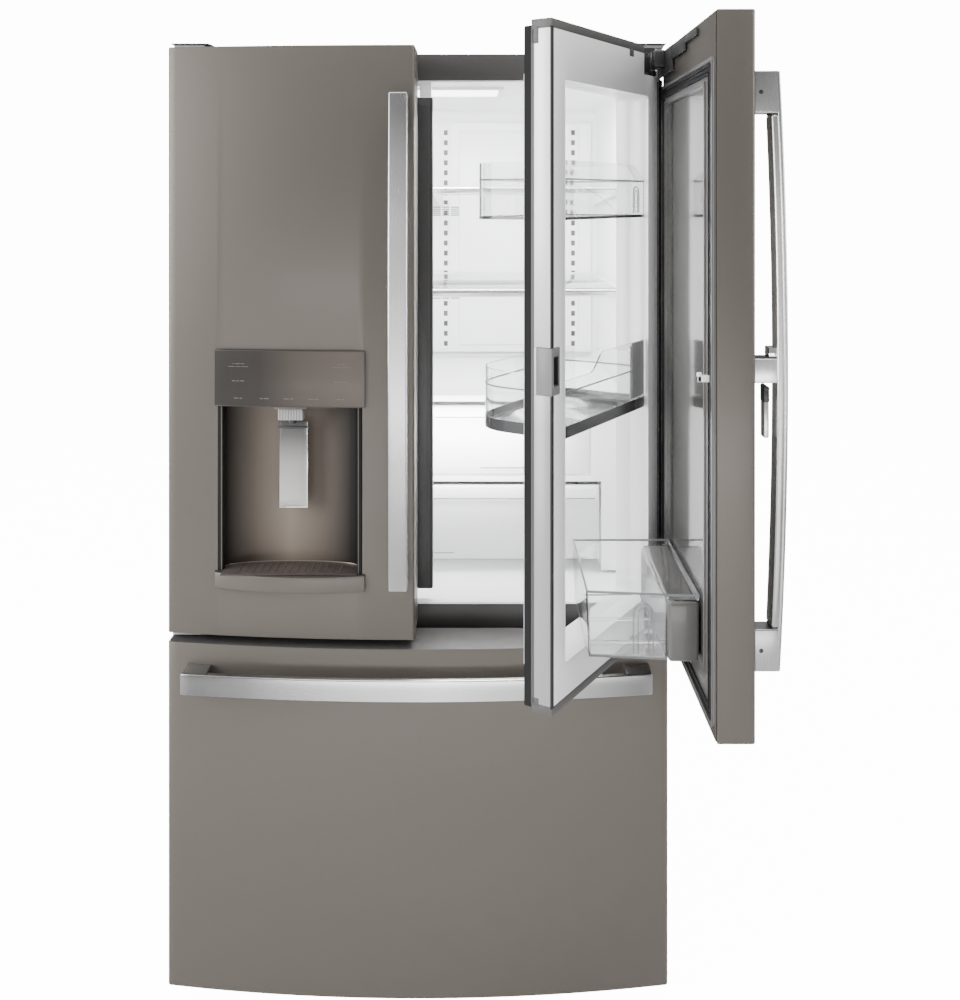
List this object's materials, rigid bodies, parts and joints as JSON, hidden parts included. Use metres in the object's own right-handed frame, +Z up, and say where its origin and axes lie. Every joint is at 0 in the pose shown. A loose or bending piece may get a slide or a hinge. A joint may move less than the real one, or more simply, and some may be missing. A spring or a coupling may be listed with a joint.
{
  "type": "french door refrigerator",
  "caption": "Bow-fronted french door refrigerator with a door-in-door, a chilled water and ice dispenser, glass shelves, drawers and a freezer drawer.",
  "frame": {"origin": "centre of the base of the box that holds the whole object as it stands, right-hand doors open, on the floor", "axes": "+Z up, -Y towards someone standing in front, +X to their right"},
  "size_m": [1.0156, 1.225, 1.758],
  "materials": {
    "slate_metal": "fingerprint-resistant slate-grey coated steel with a fine metallic grain, satin",
    "charcoal_paint": "dark charcoal textured paint",
    "satin_aluminium": "satin extruded aluminium, brushed lengthways",
    "zinc_steel": "zinc-plated pressed steel",
    "white_plastic": "white vacuum-formed polystyrene, semi-gloss",
    "clear_plastic": "clear moulded styrene, glossy",
    "shelf_glass": "clear tempered glass with a white moulded edge",
    "gasket_rubber": "dark grey soft vinyl with a double rib",
    "foam": "cream rigid polyurethane foam",
    "black_plastic": "black moulded plastic and black-painted steel",
    "dark_plastic": "dark grey moulded plastic",
    "control_glass": "dark brown glossy touch panel"
  },
  "bodies": {
    "cabinet": {"back_panel": "zinc_steel", "base_pan": "zinc_steel", "cabinet_foam": "foam", "cabinet_shell": "charcoal_paint", "centre_hinge_left": "zinc_steel", "centre_hinge_right": "zinc_steel", "compressor": "black_plastic", "condenser_coil": "zinc_steel", "drawer_frame": "white_plastic", "evaporator": "zinc_steel", "evaporator_cover": "white_plastic", "freezer_liner": "white_plastic", "freezer_slide_left": "zinc_steel", "freezer_slide_right": "zinc_steel", "fresh_food_liner": "white_plastic", "hinge_cover_left": "charcoal_paint", "hinge_cover_right": "charcoal_paint", "left_crisper": "clear_plastic", "middle_shelf": "shelf_glass", "mullion_guide": "white_plastic", "rear_duct_panel": "white_plastic", "toe_grille": "charcoal_paint", "top_hinge_left": "zinc_steel", "top_hinge_right": "zinc_steel", "upper_shelf_left": "shelf_glass", "upper_shelf_right": "shelf_glass", "wide_drawer": "clear_plastic"},
    "left_door": {"left_door_panel": "slate_metal", "left_door_liner": "white_plastic", "left_door_gasket": "gasket_rubber", "left_door_bin": "clear_plastic", "left_handle": "satin_aluminium", "dispenser_housing": "slate_metal", "control_panel": "control_glass", "dispenser_nozzle": "dark_plastic", "drip_tray": "slate_metal"},
    "mullion": {"mullion_flap": "charcoal_paint"},
    "paddle": {"dispenser_paddle": "satin_aluminium"},
    "inner_door": {"inner_door_frame": "white_plastic", "inner_door_gasket": "gasket_rubber", "inner_top_bin": "clear_plastic", "inner_middle_bin": "clear_plastic", "latch_catch": "dark_plastic"},
    "outer_door": {"outer_door_panel": "slate_metal", "outer_door_liner": "dark_plastic", "outer_door_bin": "clear_plastic", "right_handle": "satin_aluminium"},
    "trigger": {"handle_trigger": "satin_aluminium"},
    "latch": {"latch_hook": "white_plastic"},
    "freezer_drawer": {"freezer_panel": "slate_metal", "freezer_gasket": "gasket_rubber", "freezer_handle": "satin_aluminium", "freezer_bin": "white_plastic"},
    "freezer_basket": {"upper_basket": "white_plastic"},
    "crisper_right": {"right_crisper": "clear_plastic"},
    "foot_left": {"leg_left": "black_plastic"},
    "foot_right": {"leg_right": "black_plastic"},
    "roller_left": {"rear_roller_left": "black_plastic"},
    "roller_right": {"rear_roller_right": "black_plastic"},
    "fan": {"condenser_fan": "black_plastic"}
  },
  "joints": [
    {"name": "left_door_hinge", "type": "hinge", "parent": "cabinet", "child": "left_door", "pos_m": [-0.4938, -0.1765, 1.2], "axis": [0, 0, -1], "range_deg": [0, 120]},
    {"name": "inner_door_hinge", "type": "hinge", "parent": "cabinet", "child": "inner_door", "pos_m": [0.3862, -0.1765, 1.2], "axis": [0, 0, 1], "range_deg": [-58, 32]},
    {"name": "outer_door_hinge", "type": "hinge", "parent": "inner_door", "child": "outer_door", "pos_m": [0.3862, -0.1765, 1.2], "axis": [0, 0, 1], "range_deg": [-32, 55]},
    {"name": "mullion_hinge", "type": "hinge", "parent": "left_door", "child": "mullion", "pos_m": [-0.0798, -0.1195, 1.2], "axis": [0, 0, 1], "range_deg": [0, 80]},
    {"name": "paddle_hinge", "type": "hinge", "parent": "left_door", "child": "paddle", "pos_m": [-0.2828, -0.197, 1.052], "axis": [1, 0, 0], "range_deg": [0, 7], "stiffness_Nm_per_rad": 0.8},
    {"name": "trigger_hinge", "type": "hinge", "parent": "outer_door", "child": "trigger", "pos_m": [0.4772, -0.585, 1.1935], "axis": [0, -1, 0], "range_deg": [0, 4], "stiffness_Nm_per_rad": 3},
    {"name": "latch_slide", "type": "slide", "parent": "outer_door", "child": "latch", "axis": [0, 0, 1], "range_m": [0, 0.0055]},
    {"name": "freezer_slide", "type": "slide", "parent": "cabinet", "child": "freezer_drawer", "axis": [0, -1, 0], "range_m": [0, 0.42]},
    {"name": "basket_slide", "type": "slide", "parent": "cabinet", "child": "freezer_basket", "axis": [0, -1, 0], "range_m": [0, 0.26]},
    {"name": "crisper_slide", "type": "slide", "parent": "cabinet", "child": "crisper_right", "axis": [0, -1, 0], "range_m": [0, 0.13]},
    {"name": "foot_left_screw", "type": "hinge", "parent": "cabinet", "child": "foot_left", "pos_m": [-0.4478, -0.0855, 0.02], "axis": [0, 0, 1], "continuous": true},
    {"name": "foot_right_screw", "type": "hinge", "parent": "cabinet", "child": "foot_right", "pos_m": [0.3402, -0.0855, 0.02], "axis": [0, 0, 1], "continuous": true},
    {"name": "roller_left_axle", "type": "hinge", "parent": "cabinet", "child": "roller_left", "pos_m": [-0.4498, 0.5665, 0.022], "axis": [1, 0, 0], "continuous": true},
    {"name": "roller_right_axle", "type": "hinge", "parent": "cabinet", "child": "roller_right", "pos_m": [0.3422, 0.5665, 0.022], "axis": [1, 0, 0], "continuous": true},
    {"name": "fan_axle", "type": "hinge", "parent": "cabinet", "child": "fan", "pos_m": [-0.0084, 0.518, 0.1365], "axis": [1, 0, 0], "continuous": true}
  ],
  "couplings": [
    {"joint": "latch_slide", "follows": "trigger_hinge", "m_per_rad": 0.0788},
    {"joint": "basket_slide", "follows": "freezer_slide", "ratio": 0.6}
  ]
}
